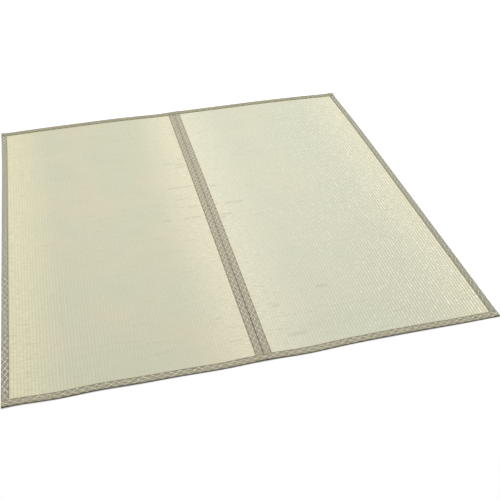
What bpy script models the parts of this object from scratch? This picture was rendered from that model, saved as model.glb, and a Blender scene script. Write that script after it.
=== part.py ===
"""A rush floor mat of two panels bound in folded cloth tape, lying flat.

The origin is on the floor under the middle of the mat, with +X across the two panels, +Y along the
ribs of the weave and +Z up. Each panel has a tape folded round each of its long edges, and one tape
at the front and one at the back run across the ends of both panels. Lengths are in metres.
"""

import math

import bmesh
import bpy
from mathutils import Matrix

# Whole mat
MAT_WIDTH = 1.760
MAT_LENGTH = 1.760
GAP = 0.0003

# Woven rush
RUSH_THICKNESS = 0.0030
RIB_PITCH = 0.01162
RIB_RELIEF = 0.0008
RIB_STEPS = 4
RIB_FULLNESS = 0.7

# Edge tape, with the width of it that covers the rush on a long edge and on a short end
TAPE_THICKNESS = 0.0010
SIDE_COVER = 0.0285
END_COVER = 0.0305
FOLD_WALL = 0.0016
FOLD_RADIUS = 0.0021
FOLD_STEPS = 6

# Worked out from the sizes above
MARGIN_BOTTOM = TAPE_THICKNESS + GAP
TAPE_HEIGHT = RUSH_THICKNESS + GAP + TAPE_THICKNESS
EDGE_INSET = FOLD_WALL + GAP
HALF_WIDTH = (MAT_WIDTH - GAP) / 2
HALF_CENTRE = (MAT_WIDTH + GAP) / 4
PANEL_WIDTH = HALF_WIDTH - 2 * EDGE_INSET
PANEL_LENGTH = MAT_LENGTH - 2 * EDGE_INSET
SIDE_TAPE_LENGTH = MAT_LENGTH - 2 * (END_COVER + GAP)
CUTTER_EXCESS = 0.005
WELD_DISTANCE = 0.00001
SHARP_ANGLE = math.radians(40.0)

# Linear base colour and roughness of each material
RUSH_COLOUR = (0.68, 0.66, 0.45, 1.0)
RUSH_ROUGHNESS = 0.62
TAPE_COLOUR = (0.38, 0.35, 0.27, 1.0)
TAPE_ROUGHNESS = 0.85


def clear_scene():
    """Removes what the scene holds before the mat is built."""
    for item in list(bpy.data.objects):
        bpy.data.objects.remove(item, do_unlink=True)


def new_collection(name):
    """Makes a collection in the scene."""
    collection = bpy.data.collections.new(name)
    bpy.context.scene.collection.children.link(collection)
    return collection


def new_material(name, colour, roughness):
    """Makes a plain cloth material with a Principled shader."""
    material = bpy.data.materials.new(name)
    material.use_nodes = True
    shader = material.node_tree.nodes["Principled BSDF"]
    shader.inputs["Base Color"].default_value = colour
    shader.inputs["Roughness"].default_value = roughness
    shader.inputs["Metallic"].default_value = 0.0
    return material


def new_half(collection, name, side):
    """Makes the empty that carries one panel and its two long tapes."""
    half = bpy.data.objects.new(name, None)
    half.location = (side * HALF_CENTRE, 0.0, 0.0)
    collection.objects.link(half)
    return half


def shade_round(mesh):
    """Shades a mesh smooth, but for its corners."""
    mesh.shade_smooth()
    mesh.set_sharp_from_angle(angle=SHARP_ANGLE)


def box_mesh(name, low, high):
    """Makes a box between two corners from a cube."""
    mesh = bpy.data.meshes.new(name)
    shape = bmesh.new()
    bmesh.ops.create_cube(shape, size=1.0)
    size = [b - a for a, b in zip(low, high)]
    middle = [(a + b) / 2 for a, b in zip(low, high)]
    bmesh.ops.transform(shape, matrix=Matrix.Diagonal((*size, 1.0)), verts=shape.verts)
    bmesh.ops.translate(shape, vec=middle, verts=shape.verts)
    shape.to_mesh(mesh)
    shape.free()
    return mesh


def cut_away(target, cutters, name, low, high):
    """Cuts a box, given in the target's own frame, out of the target."""
    cutter = bpy.data.objects.new(name, box_mesh(name, low, high))
    cutter.parent = target
    cutter.hide_render = True
    cutter.display_type = "WIRE"
    cutters.objects.link(cutter)
    cut = target.modifiers.new(name, "BOOLEAN")
    cut.operation = "DIFFERENCE"
    cut.solver = "EXACT"
    cut.object = cutter


def rib_points():
    """Points of one panel's ribbed top, from its left edge to its right, as (across, height).

    Whole ribs are centred on the panel, and the strip left at each edge is a flat selvedge.
    """
    rib_count = math.floor(PANEL_WIDTH / RIB_PITCH)
    start = -rib_count * RIB_PITCH / 2
    groove = RUSH_THICKNESS - RIB_RELIEF
    points = [(-PANEL_WIDTH / 2, groove)]
    for step in range(rib_count * RIB_STEPS + 1):
        phase = (step % RIB_STEPS) / RIB_STEPS
        rise = math.sin(math.pi * phase) ** RIB_FULLNESS
        points.append((start + step * RIB_PITCH / RIB_STEPS, groove + RIB_RELIEF * rise))
    points.append((PANEL_WIDTH / 2, groove))
    return points


def panel_outline():
    """Outline of a panel's cross-section at its margins: ribbed above and flat below."""
    edge = PANEL_WIDTH / 2
    return rib_points() + [(edge, MARGIN_BOTTOM), (-edge, MARGIN_BOTTOM)]


def panel_slab(name):
    """Makes the mesh of a panel as thin as its margins, from its outline drawn along Y."""
    curve = bpy.data.curves.new(name, "CURVE")
    curve.dimensions = "2D"
    curve.fill_mode = "BOTH"
    curve.extrude = PANEL_LENGTH / 2
    outline = panel_outline()
    spline = curve.splines.new("POLY")
    spline.points.add(len(outline) - 1)
    for point, (across, height) in zip(spline.points, outline):
        point.co = (across, height, 0.0, 1.0)
    spline.use_cyclic_u = True
    section = bpy.data.objects.new(name, curve)
    bpy.context.scene.collection.objects.link(section)
    section.rotation_euler = (math.pi / 2, 0.0, 0.0)
    bpy.context.view_layer.update()
    evaluated = section.evaluated_get(bpy.context.evaluated_depsgraph_get())
    mesh = bpy.data.meshes.new_from_object(evaluated)
    mesh.transform(section.matrix_world)
    bpy.data.objects.remove(section, do_unlink=True)
    return mesh


def lower_field(shape):
    """Brings a slab's underside down to the floor inside its margins, where no tape is folded under."""
    under = min(shape.faces, key=lambda face: face.normal.z * face.calc_area())
    bmesh.ops.inset_individual(shape, faces=[under], thickness=SIDE_COVER)
    half_width = HALF_WIDTH / 2 - SIDE_COVER - GAP
    half_length = MAT_LENGTH / 2 - END_COVER - GAP
    for vert in under.verts:
        vert.co.x = math.copysign(half_width, vert.co.x)
        vert.co.y = math.copysign(half_length, vert.co.y)
    bmesh.ops.inset_individual(shape, faces=[under], thickness=0.0, depth=MARGIN_BOTTOM)


def rush_panel(name, half, parts, material):
    """Makes one ribbed panel, whose margins are raised by the tape folded under them."""
    mesh = panel_slab(name)
    shape = bmesh.new()
    shape.from_mesh(mesh)
    bmesh.ops.remove_doubles(shape, verts=shape.verts, dist=WELD_DISTANCE)
    bmesh.ops.recalc_face_normals(shape, faces=shape.faces)
    lower_field(shape)
    shape.to_mesh(mesh)
    shape.free()
    mesh.name = name
    mesh.materials.clear()
    mesh.materials.append(material)
    shade_round(mesh)
    panel = bpy.data.objects.new(name, mesh)
    panel.parent = half
    parts.objects.link(panel)
    return panel


def rounded_edges(shape, cover, closed_ends):
    """Lists the edges of a tape's block that are rounded: those of its fold, and of its ends if closed."""
    chosen = []
    for edge in shape.edges:
        first, second = (vert.co for vert in edge.verts)
        on_fold_side = max(first.y, second.y) < cover / 2
        on_mouth_side = min(first.y, second.y) > cover / 2
        on_one_end = first.x * second.x > 0
        if on_one_end:
            rounded = closed_ends and not on_mouth_side
        else:
            rounded = on_fold_side
        if rounded:
            chosen.append(edge)
    return chosen


def folded_tape(name, length, cover, closed_ends, parts, cutters, material):
    """Makes a tape folded round an edge: it runs along X with its fold at -Y and its mouth at +Y.

    Its origin is on the floor under the middle of the fold. A tape with closed ends has them tucked
    in and rounded like the fold, and one with open ends is cut straight.
    """
    shape = bmesh.new()
    bmesh.ops.create_cube(shape, size=1.0)
    size = Matrix.Diagonal((length, cover, TAPE_HEIGHT, 1.0))
    bmesh.ops.transform(shape, matrix=size, verts=shape.verts)
    bmesh.ops.translate(shape, vec=(0.0, cover / 2, TAPE_HEIGHT / 2), verts=shape.verts)
    bmesh.ops.bevel(
        shape,
        geom=rounded_edges(shape, cover, closed_ends),
        offset=FOLD_RADIUS,
        segments=FOLD_STEPS,
        profile=0.5,
        affect="EDGES",
        material=-1,
    )
    mesh = bpy.data.meshes.new(name)
    shape.to_mesh(mesh)
    shape.free()
    mesh.materials.append(material)
    shade_round(mesh)
    tape = bpy.data.objects.new(name, mesh)
    parts.objects.link(tape)
    reach = length / 2 - FOLD_WALL if closed_ends else length / 2 + CUTTER_EXCESS
    low = (-reach, FOLD_WALL, TAPE_THICKNESS)
    high = (reach, cover + CUTTER_EXCESS, TAPE_HEIGHT - TAPE_THICKNESS)
    cut_away(tape, cutters, f"{name}_inside", low, high)
    return tape


def side_tape(name, half, edge, parts, cutters, material):
    """Folds a tape round one long edge of a half: edge is -1 for its left edge and 1 for its right."""
    tape = folded_tape(name, SIDE_TAPE_LENGTH, SIDE_COVER, False, parts, cutters, material)
    tape.parent = half
    tape.location = (edge * HALF_WIDTH / 2, 0.0, 0.0)
    tape.rotation_euler = (0.0, 0.0, edge * math.pi / 2)
    return tape


def end_tape(name, end, parts, cutters, material):
    """Folds a tape over both panels at one end: end is -1 for the front and 1 for the back."""
    tape = folded_tape(name, MAT_WIDTH, END_COVER, True, parts, cutters, material)
    tape.location = (0.0, end * MAT_LENGTH / 2, 0.0)
    tape.rotation_euler = (0.0, 0.0, 0.0 if end < 0 else math.pi)
    return tape


def build():
    """Builds the mat."""
    clear_scene()
    parts = new_collection("tatami_mat")
    cutters = new_collection("cutters")
    rush = new_material("woven_rush", RUSH_COLOUR, RUSH_ROUGHNESS)
    cloth = new_material("binding_tape", TAPE_COLOUR, TAPE_ROUGHNESS)
    left = new_half(parts, "half_left", -1)
    right = new_half(parts, "half_right", 1)
    rush_panel("rush_panel_left", left, parts, rush)
    rush_panel("rush_panel_right", right, parts, rush)
    side_tape("binding_left", left, -1, parts, cutters, cloth)
    side_tape("binding_middle_left", left, 1, parts, cutters, cloth)
    side_tape("binding_middle_right", right, -1, parts, cutters, cloth)
    side_tape("binding_right", right, 1, parts, cutters, cloth)
    end_tape("binding_front", -1, parts, cutters, cloth)
    end_tape("binding_back", 1, parts, cutters, cloth)


build()
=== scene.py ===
"""Looks of a rush floor mat: two ribbed panels bound in folded cotton tape, lying flat in a studio.

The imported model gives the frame: the origin is on the floor under the middle of the mat, with +X
across the two panels, +Y along the ribs towards the back, and +Z up. Lengths are in metres.
"""

import sys  # noqa: E702
import logging
import math
import random
from collections.abc import Sequence
from dataclasses import dataclass, field
from enum import Enum
from functools import partial

import bmesh
import bpy
from mathutils import Matrix, Vector, noise


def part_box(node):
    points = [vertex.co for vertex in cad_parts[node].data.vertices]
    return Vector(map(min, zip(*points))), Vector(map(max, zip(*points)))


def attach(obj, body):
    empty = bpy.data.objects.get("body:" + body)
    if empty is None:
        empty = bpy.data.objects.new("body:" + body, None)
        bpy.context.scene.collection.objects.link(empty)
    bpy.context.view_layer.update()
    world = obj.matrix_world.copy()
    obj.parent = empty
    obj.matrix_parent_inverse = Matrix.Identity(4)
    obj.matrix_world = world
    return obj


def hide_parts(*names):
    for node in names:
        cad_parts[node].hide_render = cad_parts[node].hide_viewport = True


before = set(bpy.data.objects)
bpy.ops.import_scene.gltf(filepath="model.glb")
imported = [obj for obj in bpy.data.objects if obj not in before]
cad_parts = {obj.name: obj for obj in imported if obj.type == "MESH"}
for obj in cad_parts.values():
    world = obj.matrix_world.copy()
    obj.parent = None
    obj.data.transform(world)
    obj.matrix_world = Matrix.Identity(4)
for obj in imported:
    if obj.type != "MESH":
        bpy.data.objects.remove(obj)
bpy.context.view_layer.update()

LOG = logging.getLogger("tatami_mat")
BODY = "root"
FLAT_MAP = "flat"
CREASE_SHADE = "crease_shade"
MM = 0.001
HALF_MAT = 0.88

# What goes into an input of a shader's node: another node, one of its outputs, or a plain value.
NodeValue = bpy.types.Node | bpy.types.NodeSocket | float | tuple[float, ...]


class Side(Enum):
    """The side of the mat that a panel lies on."""

    LEFT = "left"
    RIGHT = "right"


class TapeEnds(Enum):
    """How a tape stops: cut straight under another tape, or tucked in and closed."""

    CUT = "cut"
    TUCKED = "tucked"


class Ease(Enum):
    """How a share goes from one end of its range to the other."""

    EVEN = "LINEAR"
    SOFT = "SMOOTHSTEP"


def smooth_step(value: float, low: float, high: float) -> float:
    """Rises smoothly from 0 at low to 1 at high.

    Args:
        value: The number to look up.
        low: Where the rise starts.
        high: Where the rise ends.

    Returns:
        A share from 0 to 1.
    """
    share = min(1.0, max(0.0, (value - low) / (high - low)))
    return share * share * (3.0 - 2.0 * share)


def linear_colour(hex_colour: str) -> tuple[float, float, float, float]:
    """Turns an sRGB hex colour into the linear one that a shader takes.

    Args:
        hex_colour: Six hex digits.

    Returns:
        Linear red, green, blue and an alpha of 1.
    """
    channels = []
    for start in (0, 2, 4):
        value = int(hex_colour[start : start + 2], 16) / 255
        channels.append(value / 12.92 if value <= 0.04045 else ((value + 0.055) / 1.055) ** 2.4)
    return (*channels, 1.0)


def add_node(
    tree: bpy.types.NodeTree,
    kind: str,
    inputs: dict[int | str, NodeValue] | Sequence[NodeValue] = (),
    **settings: object,
) -> bpy.types.Node:
    """Adds a node with its settings and links.

    Args:
        tree: The node tree.
        kind: The node's type, less the ShaderNode that it starts with.
        inputs: What goes into the inputs, by name or number, or else in order. An output is linked,
            a node is linked by its first live output, and anything else is set.
        settings: The node's own settings.

    Returns:
        The node.
    """
    node = tree.nodes.new(f"ShaderNode{kind}")
    for name, value in settings.items():
        setattr(node, name, value)
    for key, value in (inputs if isinstance(inputs, dict) else dict(enumerate(inputs))).items():
        if isinstance(value, bpy.types.Node):
            value = next(output for output in value.outputs if output.enabled)
        if isinstance(value, bpy.types.NodeSocket):
            tree.links.new(value, node.inputs[key])
        else:
            node.inputs[key].default_value = value
    return node


def new_material(name: str) -> tuple[bpy.types.Material, bpy.types.NodeTree]:
    """Makes a material with an empty node tree.

    Args:
        name: The material's name.

    Returns:
        The material and its node tree.
    """
    material = bpy.data.materials.new(name)
    material.use_nodes = True
    material.node_tree.nodes.clear()
    return material, material.node_tree


@dataclass(frozen=True)
class Tint:
    """A colour that shows over another one by a share.

    The share goes from at_low to at_high, as the value that it follows goes from low to high.
    """

    colour: str
    low: float
    high: float
    at_low: float = 0.0
    at_high: float = 1.0
    ease: Ease = Ease.SOFT

    def over(
        self,
        tree: bpy.types.NodeTree,
        under: NodeValue,
        value: NodeValue,
        *strengths: bpy.types.Node,
    ) -> bpy.types.Node:
        """Lays the colour over another.

        Args:
            tree: The node tree.
            under: The colour that it goes over.
            value: The value that its share follows.
            strengths: What the share is also multiplied by.

        Returns:
            The two colours together.
        """
        span = (value, self.low, self.high, self.at_low, self.at_high)
        share = add_node(tree, "MapRange", span, interpolation_type=self.ease.value)
        for strength in strengths:
            share = add_node(tree, "Math", (share, strength), operation="MULTIPLY")
        colours = {0: share, 6: under, 7: linear_colour(self.colour)}
        return add_node(tree, "Mix", colours, data_type="RGBA")


@dataclass(frozen=True)
class WeavePlace:
    """The nodes that say where in a panel's weave a point lies."""

    flat: bpy.types.Node
    across: bpy.types.NodeSocket
    along: bpy.types.NodeSocket
    rib: bpy.types.Node
    rib_share: bpy.types.Node
    rush: bpy.types.Node
    rush_name: bpy.types.Node
    rush_tone: bpy.types.Node
    roundness: bpy.types.Node


@dataclass(frozen=True)
class WovenRush:
    """Igusa rush, dried and woven on hidden cotton warps.

    It gives the eye pale green ribs with a dry soft sheen, straw-coloured towards the ends of the
    rushes, with every rush a little different in tone. How far the ribs stand out, by a painted
    highlight on their crests and painted shade in their grooves, is a share, given for the panel's left
    edge, its middle and its right edge. It swings by rib_swing from rib to rib, and by bead_depth from
    bead to bead along a rib. Towards the ends of the rushes, flecks of fleck_size across and along the
    panel shade them by fleck_swing. A range is of the noise, tone or distance that a share follows.
    """

    name: str
    rib_pitch: float = 11.62 * MM
    rib_count: int = 75
    half_field: float = 410.0 * MM
    rib_light_share: tuple[float, float, float] = (0.10, 0.0, 0.05)
    rib_swing: float = 0.5
    highlight_range: tuple[float, float] = (0.24, 0.02)
    groove_shade_range: tuple[float, float] = (0.22, 0.52)
    bead_length: float = 13.0 * MM
    bead_depth: float = 0.3
    bead_range: tuple[float, float] = (0.35, 0.65)
    bead_shift: float = 0.5
    bead_spread: float = 7.31
    # A rush is about 1.5 mm thick. It is drawn as coarse as two side by side, so that it shows.
    rush_pitch: float = 2.9 * MM
    rush_lean: float = 0.35
    parting_shade_reach: float = 0.6
    parting_shade_share: float = 0.12
    dull_from: float = 0.62
    dull_share: float = 0.12
    dull_length: float = 45.0 * MM
    dull_length_from: float = 0.98
    dull_length_share: float = 0.5
    drift_spread: tuple[float, float, float] = (3.71, 41.3, 0.0)
    drift_rate: float = 9.0
    pale_range: tuple[float, float] = (0.5, 0.8)
    pale_share: float = 0.14
    patch_scale: float = 3.1
    patch_range: tuple[float, float] = (0.35, 0.68)
    straw_range: tuple[float, float] = (200.0 * MM, 455.0 * MM)
    straw_ragged: float = 50.0 * MM
    fleck_size: tuple[float, float] = (26.0 * MM, 4.5 * MM)
    fleck_range: tuple[float, float] = (0.3, 0.7)
    fleck_swing: float = 0.08
    # Fibres are about 11 mm long and 0.7 mm wide.
    fibre_scale: tuple[float, float, float] = (90.0, 1400.0, 1.0)
    fibre_height: float = 0.35
    middle: str = "C1C1A8"
    middle_yellow: str = "C6C2A8"
    left_ends: str = "D4CFAD"
    right_ends: str = "D5D0B5"
    dull_rush: str = "A5A083"
    pale_rush: str = "E0DDC9"
    groove: str = "9C9979"
    crest_highlight: str = "F2F0E0"
    crease_shade: str = "A59F82"
    roughness: float = 0.56
    refraction: float = 1.45
    sheen: float = 0.12
    sheen_roughness: float = 0.4
    bump_height: float = 0.35 * MM

    def find_place(self, tree: bpy.types.NodeTree) -> WeavePlace:
        """Finds a point's rib and rush. Rushes run across the ribs, staggered on every second rib.

        Args:
            tree: The node tree.

        Returns:
            The point's place in the weave.
        """
        add = partial(add_node, tree)
        flat = add("UVMap", uv_map=FLAT_MAP)
        place = add("SeparateXYZ", (flat,))
        across, along = place.outputs["X"], place.outputs["Y"]
        ribs = (across, 1 / self.rib_pitch, self.rib_count / 2)
        rib_at = add("Math", ribs, operation="MULTIPLY_ADD")
        rib = add("Math", (rib_at,), operation="FLOOR")
        rib_share = add("Math", (rib_at,), operation="FRACT")
        odd = add("Math", (rib, 2.0), operation="FLOORED_MODULO")
        stagger = add("Math", (odd, 0.5), operation="MULTIPLY")
        lean = add("Math", (rib_share, self.rush_lean, stagger), operation="MULTIPLY_ADD")
        rush_at = add("Math", (along, 1 / self.rush_pitch, lean), operation="MULTIPLY_ADD")
        rush = add("Math", (rush_at,), operation="FLOOR")
        rush_share = add("Math", (rush_at,), operation="FRACT")
        half_turn = add("Math", (rush_share, math.pi), operation="MULTIPLY")
        roundness = add("Math", (half_turn,), operation="SINE")
        rush_name = add("CombineXYZ", (rush, odd))
        rush_tone = add("TexWhiteNoise", (rush_name,), noise_dimensions="2D")
        return WeavePlace(
            flat, across, along, rib, rib_share, rush, rush_name, rush_tone, roundness
        )

    def straw_share(self, tree: bpy.types.NodeTree, at: WeavePlace) -> bpy.types.Node:
        """Gives how far a rush has turned to straw, which it does at its ends.

        Args:
            tree: The node tree.
            at: The point's place in the weave.

        Returns:
            A share from 0 to 1.
        """
        off_middle = add_node(tree, "Math", (at.across,), operation="ABSOLUTE")
        ends = (at.rush_tone, self.straw_ragged, off_middle)
        ragged = add_node(tree, "Math", ends, operation="MULTIPLY_ADD")
        span = (ragged, *self.straw_range)
        return add_node(tree, "MapRange", span, interpolation_type=Ease.SOFT.value)

    def rush_colour(
        self, tree: bpy.types.NodeTree, at: WeavePlace, straw: bpy.types.Node
    ) -> bpy.types.Node:
        """Colours the rushes.

        Args:
            tree: The node tree.
            at: The point's place in the weave.
            straw: How far the rush has turned to straw.

        Returns:
            The colour, before the weave shades it.
        """
        add = partial(add_node, tree)
        broad = {"Vector": at.flat, "Scale": self.patch_scale, "Detail": 2.0}
        patch = add("TexNoise", broad, noise_dimensions="2D")
        yellowed = Tint(self.middle_yellow, *self.patch_range)
        middle = yellowed.over(tree, linear_colour(self.middle), patch)
        on_right = add("Math", (at.across, 0.0), operation="GREATER_THAN")
        left_ends, right_ends = linear_colour(self.left_ends), linear_colour(self.right_ends)
        ends = add("Mix", {0: on_right, 6: left_ends, 7: right_ends}, data_type="RGBA")
        base = add("Mix", {0: straw, 6: middle, 7: ends}, data_type="RGBA")

        # A rush here and there is dull, or shows a dull length.
        lengths = (at.across, 1 / self.dull_length, at.rush_tone)
        length_at = add("Math", lengths, operation="MULTIPLY_ADD")
        length = add("Math", (length_at,), operation="FLOOR")
        length_name = add("CombineXYZ", (at.rush, length))
        length_tone = add("TexWhiteNoise", (length_name,), noise_dimensions="2D")
        by_rush = add("MapRange", (at.rush_tone, self.dull_from, 1.0, 0.0, self.dull_share))
        span = (length_tone, self.dull_length_from, 1.0, 0.0, self.dull_length_share)
        dull_share = add("Math", (by_rush, add("MapRange", span)), operation="MAXIMUM")
        dull = {0: dull_share, 6: base, 7: linear_colour(self.dull_rush)}
        dulled = add("Mix", dull, data_type="RGBA")

        # Each rush drifts in tone along its own length.
        start = add("VectorMath", (at.rush_name, self.drift_spread), operation="MULTIPLY")
        way = add("Math", (at.across, self.drift_rate), operation="MULTIPLY")
        drift_at = add("VectorMath", (start, add("CombineXYZ", {"Z": way})), operation="ADD")
        drifting = {"Vector": drift_at, "Scale": 1.0, "Detail": 1.0}
        drift = add("TexNoise", drifting, noise_dimensions="3D")
        paled = Tint(self.pale_rush, *self.pale_range, 0.0, self.pale_share, Ease.EVEN)
        return paled.over(tree, dulled, drift)

    def shade_ribs(
        self, tree: bpy.types.NodeTree, at: WeavePlace, colour: bpy.types.Node
    ) -> bpy.types.Node:
        """Paints a highlight on the rib crests, and shade where the rush dips under a warp.

        Args:
            tree: The node tree.
            at: The point's place in the weave.
            colour: The colour of the rushes.

        Returns:
            The shaded colour.
        """
        add = partial(add_node, tree)
        left, middle, right = self.rib_light_share
        from_middle = [
            add("MapRange", (at.across, 0.0, edge * self.half_field, 0.0, share - middle))
            for edge, share in ((-1, left), (1, right))
        ]
        off_middle = add("Math", from_middle, operation="ADD")
        here = add("Math", (off_middle, middle), operation="ADD")
        rib_tone = add("TexWhiteNoise", {"W": at.rib}, noise_dimensions="1D")
        uneven = add("MapRange", (rib_tone, 0.0, 1.0, 1 - self.rib_swing, 1 + self.rib_swing))
        rib_contrast = add("Math", (here, uneven), operation="MULTIPLY")

        # The painted highlight and shade on each rib break up along its length into beads, lighter and
        # darker.
        along_rib = add("Math", (at.along, 1 / self.bead_length), operation="MULTIPLY")
        rib_name = add("Math", (at.rib, self.bead_spread), operation="MULTIPLY")
        bead_at = add("CombineXYZ", (rib_name, along_rib))
        beads = {"Vector": bead_at, "Scale": 1.0, "Detail": 1.0}
        bead = add("TexNoise", beads, noise_dimensions="2D")
        span = (bead, *self.bead_range, 1 - self.bead_depth, 1 + self.bead_depth)
        rib_light_share = add("Math", (rib_contrast, add("MapRange", span)), operation="MULTIPLY")
        from_crest = add("Math", (at.rib_share, 0.5), operation="SUBTRACT")
        crest_distance = add("Math", (from_crest,), operation="ABSOLUTE")
        swing = (bead, -self.bead_shift, self.bead_shift / 2)
        shift = add("Math", swing, operation="MULTIPLY_ADD")
        off_crest = add("Math", (crest_distance, shift), operation="ADD")
        # Painted highlight on the crests, painted shade in the grooves and in the partings between
        # rushes.
        crest_highlight = Tint(self.crest_highlight, *self.highlight_range).over(tree, colour, off_crest, rib_light_share)
        groove = Tint(self.groove, *self.groove_shade_range).over(tree, crest_highlight, off_crest, rib_light_share)
        parting_shade = Tint(self.groove, 0.0, self.parting_shade_reach, self.parting_shade_share, 0.0, Ease.EVEN)
        return parting_shade.over(tree, groove, at.roundness)

    def material(self) -> bpy.types.Material:
        """Builds the material. It reads the panel's flat map, in metres from the panel's middle.

        Returns:
            The material.
        """
        material, tree = new_material(self.name)
        add = partial(add_node, tree)
        at = self.find_place(tree)
        straw = self.straw_share(tree, at)
        colour = self.shade_ribs(tree, at, self.rush_colour(tree, at, straw))
        # Painted shade along the creases, by the share that each crease marks on the mesh.
        crease_shade_share = add("Attribute", attribute_name=CREASE_SHADE).outputs["Fac"]
        crease_shade_mix = {0: crease_shade_share, 6: colour, 7: linear_colour(self.crease_shade)}
        crease_shaded = add("Mix", crease_shade_mix, data_type="RGBA")

        fleck_scale = (1 / self.fleck_size[0], 1 / self.fleck_size[1], 1.0)
        fleck_at = add("Mapping", {"Vector": at.flat, "Scale": fleck_scale})
        flecks = {"Vector": fleck_at, "Scale": 1.0, "Detail": 1.0}
        fleck = add("TexNoise", flecks, noise_dimensions="2D")
        shade = add("MapRange", (fleck, *self.fleck_range, -self.fleck_swing, self.fleck_swing))
        tone = add("Math", (shade, straw, 1.0), operation="MULTIPLY_ADD")
        flecked = add("VectorMath", {0: crease_shaded, "Scale": tone}, operation="SCALE")

        fibre_at = add("Mapping", {"Vector": at.flat, "Scale": self.fibre_scale})
        fibres = {"Vector": fibre_at, "Scale": 1.0, "Detail": 2.0}
        fibre = add("TexNoise", fibres, noise_dimensions="2D")
        relief = (fibre, self.fibre_height, at.roundness)
        height = add("Math", relief, operation="MULTIPLY_ADD")
        bump = add("Bump", {"Strength": 1.0, "Distance": self.bump_height, "Height": height})
        surface = {
            "Base Color": flecked,
            "Roughness": self.roughness,
            "IOR": self.refraction,
            "Sheen Weight": self.sheen,
            "Sheen Roughness": self.sheen_roughness,
            "Normal": bump,
        }
        add("OutputMaterial", {"Surface": add("BsdfPrincipled", surface)})
        return material


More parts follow.
